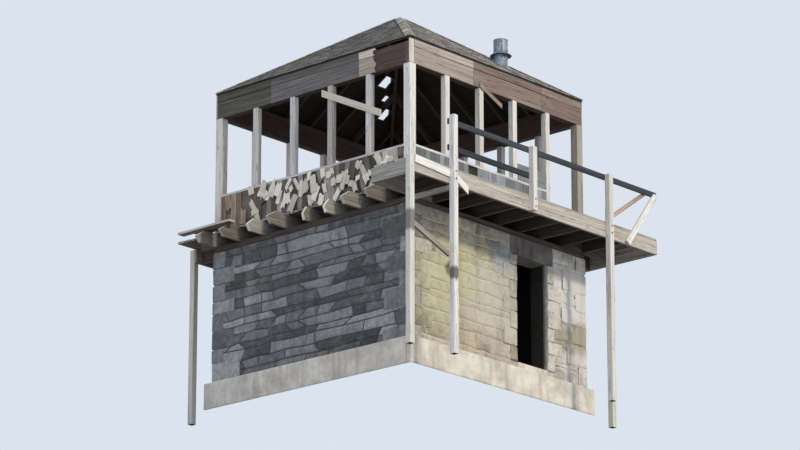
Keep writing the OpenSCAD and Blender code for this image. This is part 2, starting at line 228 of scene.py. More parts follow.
def board(low, high, draw, warp=0.002, start=0.0, end=0.0, tilt=0.0):
    """One board in its box, its length along the longest side and its thickness along the shortest. It
    warps a little, start and end say how far its ends have broken back, and tilt how far it has turned."""
    low, high = Vector(low), Vector(high)
    size, middle = high - low, move((low + high) / 2)
    thick, wide, length = sorted(size)
    bow = {x: (draw(-1, 1) * warp, draw(-1, 1) * warp) for x in (-0.25, 0, 0.25)}
    broken = {(x, y): draw(0.15, 1) * (start if x < 0 else end) / length
              for x in (-0.5, 0.5) for y in (-0.5, -0.25, 0, 0.25, 0.5)}
    made = copy_of(board_blank)
    for point in made.data.vertices:
        x, y = round(point.co.x, 2), round(point.co.y, 2)
        if abs(x) == 0.5:
            point.co.x -= math.copysign(broken[x, y], x)
        else:
            point.co.y += bow[x][0] / wide
            point.co.z += bow[x][1] / thick
    columns = [axis * size.dot(axis) for axis in sorted((X, Y, Z), key=size.dot, reverse=True)]
    if columns[0].cross(columns[1]).dot(columns[2]) < 0:
        columns[2].negate()
    made.data.transform(middle @ lines_up(*columns))
    if tilt:
        axis = min((X, Y, Z), key=size.dot)
        made.data.transform(middle @ turned(tilt, 4, axis) @ middle.inverted())
    return made


def boards(name, rows, finish, slot, *nodes, seed, warp=0.002, arris=0.003):
    """Boards laid by a list of boxes, each with its breaks and tilt."""
    draw = random.Random(seed).uniform
    piece = joined([board(low, high, draw, warp, **breaks) for low, high, breaks in rows], name)
    ease(piece, arris, 1, 40)
    return hand_over(piece, finish, slot, *nodes, seed=seed)


def box_on(axis, length, depth, height):
    """The corners of a box from its reach along axis 0 or 1, across it and in height."""
    return zip(*((depth, length, height) if axis else (length, depth, height)))


def reface(piece, finish, test):
    """Gives another finish to the faces of a piece that pass a test."""
    piece.data.materials.append(finish)
    for face in piece.data.polygons:
        if test(face):
            face.material_index = len(piece.data.materials) - 1


def refinish(piece, *rules):
    """Gives boards another finish. A rule is a finish with a test of a board's middle."""
    label = boards_of(piece.data)
    middles = [Vector(at.mean(0)) for _, at in board_points(piece.data)]
    for finish, test in rules:
        picked = [test(middle) for middle in middles]
        reface(piece, finish, lambda face: picked[label[face.vertices[0]]])


def weld(piece):
    """Welds loose triangles back to whole faces."""
    edit(piece)
    bpy.ops.mesh.remove_doubles(threshold=0.00005)
    bpy.ops.mesh.dissolve_limited(angle_limit=math.radians(0.5))
    mode("OBJECT")


def welded(node, name):
    """A welded copy of a CAD node's solids. Solids that share an edge come apart there."""
    piece = placed(name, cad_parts[node].data.copy())
    weld(piece)
    tools.mesh_select_mode = (False, True, False)
    edit(piece, "DESELECT")
    shared_only = dict.fromkeys(("use_wire", "use_boundary", "use_non_contiguous", "use_verts"), False)
    bpy.ops.mesh.select_non_manifold(**shared_only)
    mode("OBJECT")
    if any(edge.select for edge in piece.data.edges):
        mode("EDIT")
        bpy.ops.mesh.edge_split(type="EDGE")
        bpy.ops.mesh.separate(type="LOOSE")
        mode("OBJECT")
        parts = sorted(bpy.context.selected_objects, key=lambda part: part.name)
        for part in parts:
            weld(part)
        piece = joined(parts, name)
    return piece


def eased(node, finish, slot="weathered_timber", arris=0.005, seed=1, ending="_timber"):
    """A node's solids with eased arrises."""
    piece = welded(node, node + ending)
    ease(piece, arris)
    return hand_over(piece, finish, slot, node, seed=seed)


# Materials

def linear(code):
    """An sRGB colour, written as hex, in Blender's linear values."""
    parts = [int(code[i:i + 2], 16) / 255 for i in (1, 3, 5)]
    return [p / 12.92 if p <= 0.04045 else ((p + 0.055) / 1.055) ** 2.4 for p in parts] + [1.0]


def add(material, kind, inputs=None, out=0, stops=(), **settings):
    """Adds a node and gives one of its outputs. An input takes a value or another node's output. A colour
    ramp has stops: places, each with a hex colour."""
    tree = material.node_tree
    made = tree.nodes.new("ShaderNode" + kind)
    for key, value in settings.items():
        setattr(made, key, value)
    for key, value in (inputs or {}).items():
        if isinstance(value, bpy.types.NodeSocket):
            tree.links.new(value, made.inputs[key])
        else:
            made.inputs[key].default_value = value
    for number, (place, code) in enumerate(stops):
        marks = made.color_ramp.elements
        stop = marks[number] if number < 2 else marks.new(place)
        stop.position, stop.color = place, linear(code)
    return made.outputs[out] if made.outputs else made


def layer(material, base, code, pattern, low, high, start, end):
    """Lays a colour over a finish, its strength from start to end as the pattern goes from low to high."""
    strength = add(material, "MapRange", {0: pattern, 1: low, 2: high, 3: start, 4: end})
    return add(material, "Mix", {0: strength, 6: base, 7: linear(code)}, 2, data_type="RGBA")


def streaks(material, place, stretch, detail, roughness=0.5):
    """A cloudy pattern drawn into streaks. Stretch is how many fit in a metre on each axis."""
    drawn = add(material, "Mapping", {"Vector": place, "Scale": stretch})
    settings = {"Vector": drawn, "Scale": 1.0, "Detail": detail, "Roughness": roughness}
    return add(material, "TexNoise", settings)


def blot(material, base, pattern, place, centre, rag, edges, amount, code):
    """A patch of colour round its centre, ragged with a pattern, which fades out between its edges. It
    paints stains, and on the first post at the near corner a painted shadow.
    """
    apart = add(material, "VectorMath", {0: place, 1: centre}, "Value", operation="DISTANCE")
    ragged = add(material, "Math", {0: pattern, 1: -rag, 2: apart}, operation="MULTIPLY_ADD")
    return layer(material, base, code, ragged, *edges, amount, 0.0)


def surface(material, base, roughness, height=None, depth=0.0, strength=0.7, metallic=0.0):
    """Ends a material: its colour, dullness and relief, whose depth is in metres."""
    shader = material.node_tree.nodes["Principled BSDF"]
    for key, value in (("Roughness", roughness), ("Specular IOR Level", 0.3), ("Metallic", metallic)):
        shader.inputs[key].default_value = value
    material.node_tree.links.new(base, shader.inputs["Base Color"])
    if height is not None:
        relief = add(material, "Bump", {"Height": height, "Distance": depth, "Strength": strength})
        material.node_tree.links.new(relief, shader.inputs["Normal"])
    return material


def new_material(name):
    """A new material, and where its points lie on the tower."""
    material = bpy.data.materials.new(name)
    material.use_nodes = True
    return material, add(material, "TexCoord", out="Object")


def softwood(name, colours, staining=0.35, checks=0.5, tone="#a9a49e", under="#3a332d", spot=None):
    """Sawn softwood left outdoors for decades: silver where the sun has bleached it, with darker late wood
    along the grain, stains over several boards and black checks where it has split. Faces that look down
    are darkened towards brown, partly for wood that the sun has not bleached and partly as painted shade.
    A spot is one dark patch: its centre, its radius and its colour."""
    wood, place = new_material(name)
    dark, mid, pale, stain = colours.split()
    grain = add(wood, "Attribute", out="Vector", attribute_name="grain")
    chance, down = (add(wood, "Attribute", out="Fac", attribute_name=key) for key in ("tone", "under"))
    # Streaks 25 mm wide and 1 m long, coarser than real growth rings so that they show
    streak = streaks(wood, grain, (1.0, 40.0, 40.0), 4.0, 0.6)
    base = add(wood, "ValToRGB", {0: streak}, stops=((0.28, dark), (0.5, mid), (0.72, pale)))
    # Each board has its own tone
    level = add(wood, "ValToRGB", {0: chance}, stops=((0.0, tone), (1.0, "#ffffff")))
    base = add(wood, "Mix", {0: 1.0, 6: base, 7: level}, 2, data_type="RGBA", blend_type="MULTIPLY")
    # Stains half a metre across
    cloud = add(wood, "TexNoise", {"Vector": place, "Scale": 1.7, "Detail": 5.0, "Roughness": 0.65})
    base = layer(wood, base, stain, cloud, 0.48, 0.7, 0.0, staining)
    # Checks 8 mm wide, twice as wide as real ones so that they show
    crack = streaks(wood, grain, (0.9, 16.0, 16.0), 2.0)
    near = add(wood, "Math", {0: crack, 1: 0.5}, operation="SUBTRACT")
    near = add(wood, "Math", {0: near}, operation="ABSOLUTE")
    line = add(wood, "MapRange", {0: near, 1: 0.004, 2: 0.014, 3: checks, 4: 0.0})
    base = add(wood, "Mix", {0: line, 6: base, 7: linear("#2b2724")}, 2, data_type="RGBA")
    # Painted shade: faces that look down are darkened towards the under colour, which is partly the brown of
    # unbleached wood
    base = layer(wood, base, under, down, 0.4, 0.8, 0.0, 0.8)
    if spot:
        centre, radius, code = spot
        base = blot(wood, base, streak, place, centre, 0.1, (radius - 0.08, radius - 0.03), 0.85, code)
    height = add(wood, "Math", {0: streak, 1: line}, operation="SUBTRACT")
    return surface(wood, base, 0.88, height, 0.004)


bright = ("#d0cec6 #eeece6 #fbfaf6 #c4bdb2", 0.25, 0.4, "#dedad4", "#8d8478")
bleached = softwood("sun_bleached_softwood", *bright)
# The two posts at the near corner have one dark spot each: a painted shadow at the end of the brace on the
# first, and a plain dark spot on the second
first_post = softwood("brace_stained_post", *bright, ((-3.035, -2.935, 1.95), 0.18, "#6f6d6b"))
second_post = softwood("knotty_bright_post", "#cac8c1 #e3e1db #f2f0ec #c0b9af", 0.2, 0.4, "#ffffff",
                       "#8d8478", ((-2.135, -3.035, 1.28), 0.12, "#4d4438"))
silvered = softwood("silvered_softwood", "#8f8b84 #bab6ae #d6d2ca #80776c", 0.45)
shaded_wood = softwood("lavender_grey_softwood", "#b9b5b3 #dad6d3 #f1eeea #a8a29d", 0.3, tone="#d2cec8")
deck_wood = softwood("deck_edge_softwood", "#9f968c #bfb6ab #d8d1c6 #908374", under="#4d443b")
tan_facing = softwood("tan_facing_boards", "#958880 #b5a9a0 #cec4ba #887b72")
brown_facing = softwood("brown_grey_facing_boards", "#7d6d64 #a19086 #bfaea3 #856e66", 0.5)
dark_facing = softwood("dark_grey_facing_boards", "#6e6d71 #979597 #bcbab8 #756d64", 0.5)
mossy_facing = softwood("lichened_facing_boards", "#494844 #65625a #7d7b73 #54503b", 0.6)
tan_post = softwood("tan_corner_post", "#a39b8e #c0b7ab #d0c8bc #988b7b", 0.3, 0.4)
# Framing in dark brown: painted shade for the joists, plates and rafters under the floors and inside the cab
framing = softwood("dark_sawn_framing", "#3a3330 #554b45 #6f655c #332c28", 0.5, under="#483f37")
red_beam = softwood("red_brown_header_beam", "#5a4542 #6f5854 #86706a #47393a", 0.4, under="#2a2220")
dark_rail = softwood("blue_black_rail_boards", "#2c3138 #3f454d #565b61 #33302e")
broken_wood = softwood("raw_broken_softwood", "#c4b09a #e2d6c6 #f5efe6 #b39a80", 0.3, 0.3)
rust_brown = softwood("red_brown_broken_boards", "#8a7466 #b39b8a #d2bba8 #7b6355", 0.45)
splinter = softwood("cream_split_laths", "#e8decf #f9f2e5 #fffbf3 #d6c8b4", 0.15, 0.2, "#d0cac0")
siding = softwood("mottled_siding_boards", "#9c948a #d2cac1 #f0eae2 #6d645a", 0.5, tone="#4b453f")
panel_wood = softwood("pale_grey_blue_panel", "#8e979f #a5aeb5 #bec4ca #878c92", 0.3)
stub_wood = softwood("grey_outrigger_stubs", "#7b7773 #a09b94 #c2bdb5 #6b635b", 0.4, under="#5e564e")
torn_sheathing = softwood("grey_brown_sheathing", "#4d463f #766c62 #9a8e82 #39332d", 0.5, 0.6)
# Sheathing nearly black: painted shade for the inside of the cab and the underside of the roof
shade_dark_core = softwood("dark_sheathing", "#2c2724 #403933 #544c44 #24201d", 0.4, under="#2a2521")


# Iron heads rusted brown, with a dull dark skin where the rust has flaked
rusty_iron, place = new_material("rusted_iron")
flake = add(rusty_iron, "TexNoise", {"Vector": place, "Scale": 160.0, "Detail": 3.0})
base = add(rusty_iron, "ValToRGB", {0: flake}, stops=((0.4, "#4a2f20"), (0.6, "#7b5238")))
surface(rusty_iron, base, 0.7, metallic=0.4)


def rubble(name, stones, mortar, lichen, growth, blots=(), stain="#4c463e", staining=0.3):
    """Field stone laid in rough courses in lime mortar. Each stone has its own tone, with crusts of lichen
    and dark runs where water comes down the wall. A blot is its place along the front wall, its height, its
    radius, its colour and its strength."""
    stone, place = new_material(name)
    tone, joint = (add(stone, "Attribute", out="Fac", attribute_name=key) for key in ("stone_tone", "joint"))
    codes = stones.split()
    base = add(stone, "ValToRGB", {0: tone}, stops=zip(np.linspace(0, 1, len(codes)), codes))
    # Mottling 80 mm across
    mottle = add(stone, "TexNoise", {"Vector": place, "Scale": 12.0, "Detail": 6.0, "Roughness": 0.7})
    greys = ((0.3, "#8f8d8a"), (0.55, "#d9d7d3"), (0.75, "#ffffff"))
    spread = add(stone, "ValToRGB", {0: mottle}, stops=greys)
    base = add(stone, "Mix", {0: 0.75, 6: base, 7: spread}, 2, data_type="RGBA", blend_type="MULTIPLY")
    base = add(stone, "Mix", {0: joint, 6: base, 7: linear(mortar)}, 2, data_type="RGBA")
    # Lichen in patches 0.3 m across with ragged rims
    crust = add(stone, "TexNoise", {"Vector": place, "Scale": 3.1, "Detail": 8.0, "Roughness": 0.75})
    base = layer(stone, base, lichen, crust, 0.52, 0.6, 0.0, growth)
    for x, z, radius, code, amount in blots:
        edges = (-0.45 * radius, 0.1 * radius)
        base = blot(stone, base, crust, place, (x, -half, z), 2.2 * radius, edges, amount, code)
    # Runs of water 0.15 m wide
    run = streaks(stone, place, (5.0, 5.0, 0.5), 5.0, 0.6)
    base = layer(stone, base, stain, run, 0.5, 0.72, 0.0, staining)
    # Painted shade: stone in the doorway and inside is painted nearly black where it lies more than 0.1 m in
    # from the walls' outer faces, fading out 0.02 m from them
    sides = add(stone, "SeparateXYZ", {"Vector": place}).node.outputs
    far_x, far_y = (add(stone, "Math", {0: sides[line]}, operation="ABSOLUTE") for line in "XY")
    far = add(stone, "Math", {0: far_x, 1: far_y}, operation="MAXIMUM")
    base = layer(stone, base, "#120f0d", far, half - 0.1, half - 0.02, 0.96, 0.0)
    return surface(stone, base, 0.92, mottle, 0.012, 0.8)


front_rubble = rubble(
    "sunlit_field_stone", "#96897b #b8ae9f #cdc6b8 #a99c90 #dbd6cb", "#cbc4b6", "#c2bb95", 0.4,
    ((-1.0, 1.45, 1.0, "#c9c598", 0.6), (0.1, 2.2, 0.3, "#83979a", 0.6), (-1.2, 1.72, 0.12, "#5d5040", 0.8),
     (-0.5, 0.6, 1.0, "#bdaca2", 0.45), (-0.1, 1.4, 0.7, "#c9c3b8", 0.55), (1.7, 1.6, 1.1, "#dddcd7", 0.75),
     # The two olive blots right of the door are an olive stain, darkened as a painted shadow of a post
     (1.5, 1.2, 0.28, "#958c6e", 0.75), (1.95, 1.25, 0.28, "#958c6e", 0.75)))
jamb_rubble = rubble("limewashed_jamb_stone", "#d9d5cb #e8e4db #f3f0e9", "#cbc4b6", "#d5d0b8", 0.3)
left_rubble = rubble("shaded_slate_stone", "#525254 #858486 #aaa9ac #636265 #c4c3c6", "#4c4c4f",
                     "#9c9c98", 0.25, stain="#434346", staining=0.5)
plain_rubble = rubble("grey_field_stone", "#7d7b78 #9d9a96 #b4b1ab #8b8782 #c2beb7", "#98938b",
                      "#a8a48e", 0.3)


def cast_concrete(name, dark, pale, stain):
    """Hand mixed concrete, worn by frost: pale, with grey clouds, pits 15 mm across and rusty runs."""
    cast, place = new_material(name)
    cloud = add(cast, "TexNoise", {"Vector": place, "Scale": 2.6, "Detail": 8.0, "Roughness": 0.7})
    base = add(cast, "ValToRGB", {0: cloud}, stops=((0.32, dark), (0.62, pale)))
    run = streaks(cast, place, (6.0, 6.0, 0.7), 4.0)
    base = layer(cast, base, stain, run, 0.52, 0.7, 0.0, 0.5)
    pits = add(cast, "TexNoise", {"Vector": place, "Scale": 45.0, "Detail": 5.0, "Roughness": 0.7})
    return surface(cast, base, 0.9, pits, 0.006)


pale_concrete = cast_concrete("frost_worn_concrete", "#b4ada3", "#e6dfd4", "#9b8a76")
# The lintel's dark grey is painted shade from the deck over the doorway
dark_concrete = cast_concrete("stained_lintel_concrete", "#54504c", "#86827d", "#463c34")


def split_shingles(name, *tones):
    """Split softwood shingles weathered grey, each with its own tone and fine ridges along its length."""
    wood, place = new_material(name)
    grain = add(wood, "Attribute", out="Vector", attribute_name="grain")
    tone = add(wood, "Attribute", out="Fac", attribute_name="tone")
    base = add(wood, "ValToRGB", {0: tone}, stops=zip((0.0, 0.4, 0.75, 1.0), tones))
    ridge = streaks(wood, grain, (2.0, 60.0, 60.0), 3.0)
    spread = add(wood, "ValToRGB", {0: ridge}, stops=((0.3, "#8a8885"), (0.7, "#ffffff")))
    base = add(wood, "Mix", {0: 0.8, 6: base, 7: spread}, 2, data_type="RGBA", blend_type="MULTIPLY")
    cloud = add(wood, "TexNoise", {"Vector": place, "Scale": 1.4, "Detail": 6.0, "Roughness": 0.7})
    base = layer(wood, base, "#7e7c62", cloud, 0.5, 0.68, 0.0, 0.45)
    return surface(wood, base, 0.9, ridge, 0.003)


shingle_wood = split_shingles("split_shingles", "#8c8a89", "#aaa7a4", "#c1bdb8", "#d6d2cc")
# Darker shingles for the left slope, as painted shade for the slope that faces away from the sun
shade_darkened_shingles = split_shingles("damp_split_shingles", "#696766", "#7f7d7a", "#918e8a", "#a19e99")


# Galvanised sheet, dulled outdoors: a soft sheen, with zinc spangle 25 mm across and patches of rust
zinc, place = new_material("dull_galvanised_sheet")
spangle = add(zinc, "TexVoronoi", {"Vector": place, "Scale": 40.0}, "Color")
base = add(zinc, "ValToRGB", {0: spangle}, stops=((0.2, "#6e7a86"), (0.8, "#95a0ab")))
cloud = add(zinc, "TexNoise", {"Vector": place, "Scale": 9.0, "Detail": 6.0, "Roughness": 0.7})
base = layer(zinc, base, "#6e4f3a", cloud, 0.56, 0.68, 0.0, 0.8)
surface(zinc, base, 0.55, cloud, 0.002, 0.5, 0.55)


# Stone base: how far the walls' hearts are cut back, and how deep the joints lie behind a wall's face
INSET = 0.02
JOINT_DEPTH = 0.012
SLAB_DEPTH = 0.03


def rubble_on(outward, start, stop, seed, stone=0.42, course=0.19):
    """Covers a stretch of a wall, measured from its middle to the right as seen from outside, with courses
    of uneven stones raised from their joints. They are modelled lying on their backs."""
    draw = random.Random(seed).uniform
    width, height = stop - start, wall_top - wall_foot
    columns, rows = round(2 * width / stone), round(height / course)
    cells = {"x_subdivisions": columns, "y_subdivisions": rows}
    slab = begin(bpy.ops.mesh.primitive_grid_add, "rubble", size=1, **cells)
    mesh = slab.data
    mesh.transform(Matrix.Diagonal((width, height, 1, 1)))
    step_x, step_y = width / columns, height / rows
    lift = [0] + [draw(-0.3, 0.3) * step_y for _ in range(rows - 1)]

    def cell(at):
        return (at.x + width / 2) / step_x, (at.y + height / 2) / step_y

    for point in mesh.vertices:
        column, row = (round(place) for place in cell(point.co))
        if 0 < column < columns:
            point.co.x += draw(-0.36, 0.36) * step_x
        if 0 < row < rows:
            point.co.y += lift[row] + draw(-0.1, 0.1) * step_y
    # Sides and back, so that the slab is closed
    edit(slab, "DESELECT")
    tools.mesh_select_mode = (False, True, False)
    bpy.ops.mesh.select_non_manifold()
    bpy.ops.mesh.extrude_region_move(TRANSFORM_OT_translate={"value": (0, 0, -SLAB_DEPTH)})
    bpy.ops.mesh.edge_face_add()
    mode("OBJECT")
    # Stones two cells long in broken bond, and a few of other sizes
    for edge in mesh.edges:
        one, two = (mesh.vertices[i].co for i in edge.vertices)
        middle = (one + two) / 2
        upright = abs(one.x - two.x) < abs(one.y - two.y)
        within = abs(middle.x) <= width / 2 - 0.3 * step_x
        edge.select = False
        if min(one.z, two.z) >= -0.001 and upright and within:
            column, row = cell(middle)
            edge.select = draw(0, 1) < (0.86 if (round(column) + int(row)) % 2 else 0.2)
    for part in (*mesh.vertices, *mesh.polygons):
        part.select = False
    mode("EDIT")
    bpy.ops.mesh.dissolve_edges(use_verts=False)
    tools.mesh_select_mode = (False, False, True)
    mode("OBJECT")
    fronts = [face.normal.z > 0.5 and face.center.z > -0.001 for face in mesh.polygons]
    mesh.polygons.foreach_set("select", fronts)
    mark(mesh, "stone_tone", [draw(0, 1) for _ in fronts])
    # The joint, then the worn arris and the face of each stone
    mode("EDIT")
    bpy.ops.mesh.inset(thickness=0.009, depth=0, use_individual=True)
    mode("OBJECT")
    mark(mesh, "joint", [0.0 if face.select else 1.0 for face in mesh.polygons])
    mode("EDIT")
    bpy.ops.mesh.inset(thickness=0.007, depth=0.01, use_individual=True)
    bpy.ops.mesh.inset(thickness=0.022, depth=0.007, use_individual=True)
    mode("OBJECT")
    # No two stones stand equally proud or quite upright
    for face in mesh.polygons:
        if face.select:
            proud, lean, turn = (draw(-1, 1) for _ in range(3))
            middle = face.center.copy()
            for i in face.vertices:
                point = mesh.vertices[i].co
                point.z += 0.004 * proud + 0.02 * (lean * (point.x - middle.x) + turn * (point.y - middle.y))
    mode("EDIT")
    bpy.ops.mesh.poke(offset=0.003)
    bpy.ops.mesh.subdivide(number_cuts=2)
    bpy.ops.transform.vertex_random(offset=0.004, uniform=0.5, normal=1.0, seed=seed)
    mode("OBJECT")
    across = Z.cross(outward)
    middle = outward * (half - JOINT_DEPTH) + across * (start + stop) / 2 + Z * (wall_foot + wall_top) / 2
    mesh.transform(move(middle) @ lines_up(across, Z, outward))
    return slab


# A wall's finish, solids, sides from the one with rubble on, and stretches of rubble
for wall, finish, nodes, sides, stretches in (
        ("left", left_rubble, ("base_left_wall",), (-X, -Y, Y), ((-half, half, 11, 0.66, 0.15),)),
        ("right", plain_rubble, ("base_right_wall",), (X, -Y, Y), ((-half, half, 12),)),
        ("back", plain_rubble, ("base_back_wall",), (Y,), ((-half, half, 13),)),
        ("front", front_rubble, ("base_front_left", "base_front_right", "base_front_top"), (-Y,),
         ((-half, lintel_left, 14), (lintel_right, half, 15)))):
    parts = []
    # The hearts of the walls, cut back where rubble or corner stones cover them
    for node in nodes:
        core = welded(node, node + "_core")
        for side in sides:
            slice_off(core, side * (half - INSET), side)
        for name, value in (("stone_tone", 0.4), ("joint", 0.35)):
            mark(core.data, name, [value] * len(core.data.polygons))
        parts.append(core)
    parts += [rubble_on(sides[0], *stretch) for stretch in stretches]
    hand_over(joined(parts, wall + "_stone_wall"), finish, "rubble_stone", *nodes)


def dressed_stones(name, boxes, finish, seed, side_finish=None):
    """Roughly squared stones with worn arrises. Faces that look left or right can have their own finish."""
    draw = random.Random(seed).uniform
    parts = []
    for low, high in boxes:
        low, high = Vector(low), Vector(high)
        stone = copy_of(stone_blank)
        for point in stone.data.vertices:
            for k in range(3):
                slack = 0.012 / (high - low)[k]
                point.co[k] += draw(-slack, slack if abs(point.co[k]) < 0.4 else slack * 0.4)
        stone.data.transform(move((low + high) / 2) @ Matrix.Diagonal((*(high - low), 1)))
        parts.append(stone)
    piece = joined(parts, name)
    ease(piece, 0.014)
    label = boards_of(piece.data)
    tones = [draw(0, 1) for _ in range(label.max() + 1)]
    mark(piece.data, "stone_tone", [tones[label[face.vertices[0]]] for face in piece.data.polygons])
    mark(piece.data, "joint", [0.0] * len(piece.data.polygons))
    hand_over(piece, finish, "rubble_stone")
    if side_finish:
        reface(piece, side_finish, lambda face: abs(face.normal.x) > 0.7)


def courses(draw, foot, head, least, most):
    """The number, foot and top of each stone of a pile that ends level with its head."""
    z, number = foot, 0
    while z < head - 0.02:
        tall = min(draw(least, most), head - z)
        if head - z - tall < 0.12:
            tall = head - z
        yield number, z, z + tall
        z += tall
        number += 1


def quoins(x_side, y_side, seed):
    """Corner stones, long and short in turn on each face."""
    draw = random.Random(seed).uniform
    boxes = []
    for number, foot, top in courses(draw, wall_foot, wall_top, 0.22, 0.36):
        reaches = [draw(0.46, 0.62), draw(0.2, 0.28)]
        if number % 2 == 0:
            reaches.reverse()
        xs, ys = (sorted((side * (half + 0.014), side * (half - reach)))
                  for side, reach in zip((x_side, y_side), reaches))
        boxes.append(((xs[0], ys[0], foot + 0.006), (xs[1], ys[1], top - 0.006)))
    return boxes


def jamb(side, edge, seed):
    """Stones of a doorway's jamb, long and short in turn, which line its reveal."""
    boxes = []
    for number, foot, top in courses(random.Random(seed).uniform, door_foot, door_head, 0.2, 0.3):
        xs = sorted((edge, edge + side * (0.34 if number % 2 else 0.17)))
        boxes.append(((xs[0], -half - 0.012, foot + 0.005), (xs[1], -inner, top - 0.005)))
    return boxes


dressed_stones("near_corner_stones", quoins(-1, -1, 21), front_rubble, 31, left_rubble)
dressed_stones("right_corner_stones", quoins(1, -1, 22), front_rubble, 32, plain_rubble)
dressed_stones("far_left_corner_stones", quoins(-1, 1, 23), plain_rubble, 33, left_rubble)
dressed_stones("back_corner_stones", quoins(1, 1, 24), plain_rubble, 34)
dressed_stones("left_jamb_stones", jamb(-1, door_left, 25), front_rubble, 35)
dressed_stones("right_jamb_stones", jamb(1, door_right, 26), jamb_rubble, 36)
for node, finish, arris in (("footing", pale_concrete, 0.02), ("threshold", pale_concrete, 0.012),
                            ("base_floor", pale_concrete, 0.004), ("lintel", dark_concrete, 0.01)):
    eased(node, finish, "concrete", arris, ending="_concrete")

# Framing, posts and rails

for node in ("wall_plates", "floor_joists", "right_outriggers", "hip_rafters", "jack_rafters"):
    eased(node, framing, "framing_timber", 0.004)
stubs = eased("left_outriggers", stub_wood, "framing_timber", 0.004, 3)
reface(stubs, splinter, lambda face: face.normal.x < -0.3 and face.center.x < -half - 0.05)
eased("headers", red_beam, "framing_timber")
eased("front_rim", deck_wood)
eased("side_rims", silvered)
tall_posts = eased("support_posts", bleached, "bleached_timber", 0.008, 5)
refinish(tall_posts,
         (first_post, lambda at: at.x < -deck_edge),
         (second_post, lambda at: abs(at.x + half) < 0.05 and at.y < 0))
short_posts = eased("rail_posts", bleached, "bleached_timber", 0.008, 6)
eased("leaning_post", bleached, "bleached_timber", 0.006)
eased("walk_braces", silvered)
eased("rails", dark_rail, "dark_timber")
corner_posts = eased("corner_posts", bleached, "bleached_timber", 0.008, 7)
refinish(corner_posts, (tan_post, lambda at: at.x > 0 > at.y))
eased("front_back_mullions", bleached, "bleached_timber", 0.006, 8)
eased("side_mullions", shaded_wood, arris=0.006, seed=9)
eased("sills", shaded_wood, arris=0.004)
loose = eased("loose_boards", bleached, "bleached_timber", 0.004, 10)
refinish(loose,
         (splinter, lambda at: at.x < -half and at.z > low_wall_top),
         (brown_facing, lambda at: -half - 0.1 < at.y < -half + 0.05 and at.z > low_wall_top + 1),
         (panel_wood, lambda at: at.x > 0.4 and at.y > -half - 0.1 and at.z < low_wall_top + 0.5),
         (rust_brown, lambda at: at.x > 1.8 and at.y < -half - 0.5),
         (rust_brown, lambda at: at.x < -half and at.y > 1),
         (broken_wood, lambda at: at.x < -half - 0.22 and at.y > 1))

# Floors, low walls and facings: the widths of their boards and half the gaps between them

BOARD, BOARD_GAP = 0.142, 0.0035
SIDING, SIDING_GAP, SIDING_DEPTH = 0.115, 0.002, 0.022
EAVE_STRIP = 0.118


def side_by_side(start, stop, width, gap):
    """The two edges of each board in a row of boards."""
    count = round((stop - start) / width)
    step = (stop - start) / count
    return [(start + i * step + gap, start + (i + 1) * step - gap) for i in range(count)]


# Floor boards, side by side from start to stop and running along X or Y, with broken ends
floors = {}
for name, node, start, stop, low_end, high_end, axis, seed, broken in (
        ("cab_floor", "cab_floor", -half, half, -half, half, 0, 41, 0.0),
        ("front_walk", "walk_front", -deck_edge, -half, -deck_edge, deck_edge, 0, 42, 0.02),
        ("right_walk", "walk_right", half, deck_edge, -half, deck_edge, 1, 43, 0.02),
        ("back_walk", "walk_back", half, deck_edge, -half, half, 0, 44, 0.03)):
    draw = random.Random(seed).uniform
    rows = []
    for edges in side_by_side(start, stop, BOARD, BOARD_GAP):
        height = (floor_under, floor_top - draw(0, 0.003))
        ends = (low_end + draw(0, broken), high_end - draw(0, broken))
        rows.append((*box_on(axis, ends, edges, height), {"start": 0.01, "end": 0.01}))
    floors[name] = boards(name + "_boards", rows, silvered, "weathered_timber", node, seed=seed)


def low_wall(node, outward, finish, seed, missing, stub, tilt=0.0, behind=shade_dark_core):
    """A low wall: sheathing, and over it upright boards, some gone or broken off. Broken ones may hang at a
    tilt, a little proud of the rest."""
    core = welded(node, node + "_sheathing")
    slice_off(core, outward * (half - SIDING_DEPTH - 0.002), outward)
    hand_over(core, behind, "siding", node)
    draw = random.Random(seed).uniform
    axis, out = (1 if outward.x else 0), sum(outward)
    low_end, high_end = (corner[axis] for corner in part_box(node))
    rows = []
    for i, edges in enumerate(side_by_side(low_end, high_end, SIDING, SIDING_GAP)):
        foot, top, face, breaks = floor_top, low_wall_top, half, {}
        fate = draw(0, 1)
        if fate < missing:
            continue
        if fate < missing + stub:
            if draw(0, 1) < 0.5:
                top = foot + draw(0.15, 0.42)
                breaks = {"end": 0.09}
            else:
                foot = top - draw(0.15, 0.42)
                breaks = {"start": 0.09}
            if tilt:
                breaks["tilt"] = draw(-tilt, tilt)
                face += 0.006 + 0.004 * (i % 4)
        faces = sorted((out * face, out * (face - SIDING_DEPTH)))
        rows.append((*box_on(axis, edges, faces, (foot, top)), breaks))
    return boards(node + "_siding", rows, finish, "siding", seed=seed, warp=0.003)


torn = low_wall("left_low_wall", -X, siding, 51, 0.1, 0.45, 0.3, torn_sheathing)
refinish(torn, (rust_brown, lambda at: at.y > 1.25))
# Split laths that hang at all angles on the left side, where siding has torn away
start, stop, count = -1.8, 1.3, 50
draw = random.Random(55).uniform
rows = []
for i in range(count):
    y = start + (stop - start) * (i + draw(0, 1)) / count
    wide, long = draw(0.06, 0.13), draw(0.13, 0.36)
    z = floor_top + draw(0.0, 0.5) - long / 3
    face = -half - 0.026 - 0.012 * (i % 3)
    breaks = {"start": 0.06, "end": 0.06, "tilt": draw(-0.6, 0.6)}
    rows.append(((face, y, z), (face + 0.01, y + wide, z + long), breaks))
boards("hanging_laths", rows, splinter, "siding", seed=55, warp=0.006, arris=0.002)
low_wall("front_low_wall", -Y, panel_wood, 52, 0.03, 0.08)
low_wall("right_low_wall", X, siding, 53, 0.03, 0.05)
low_wall("back_low_wall", Y, siding, 54, 0.03, 0.05)


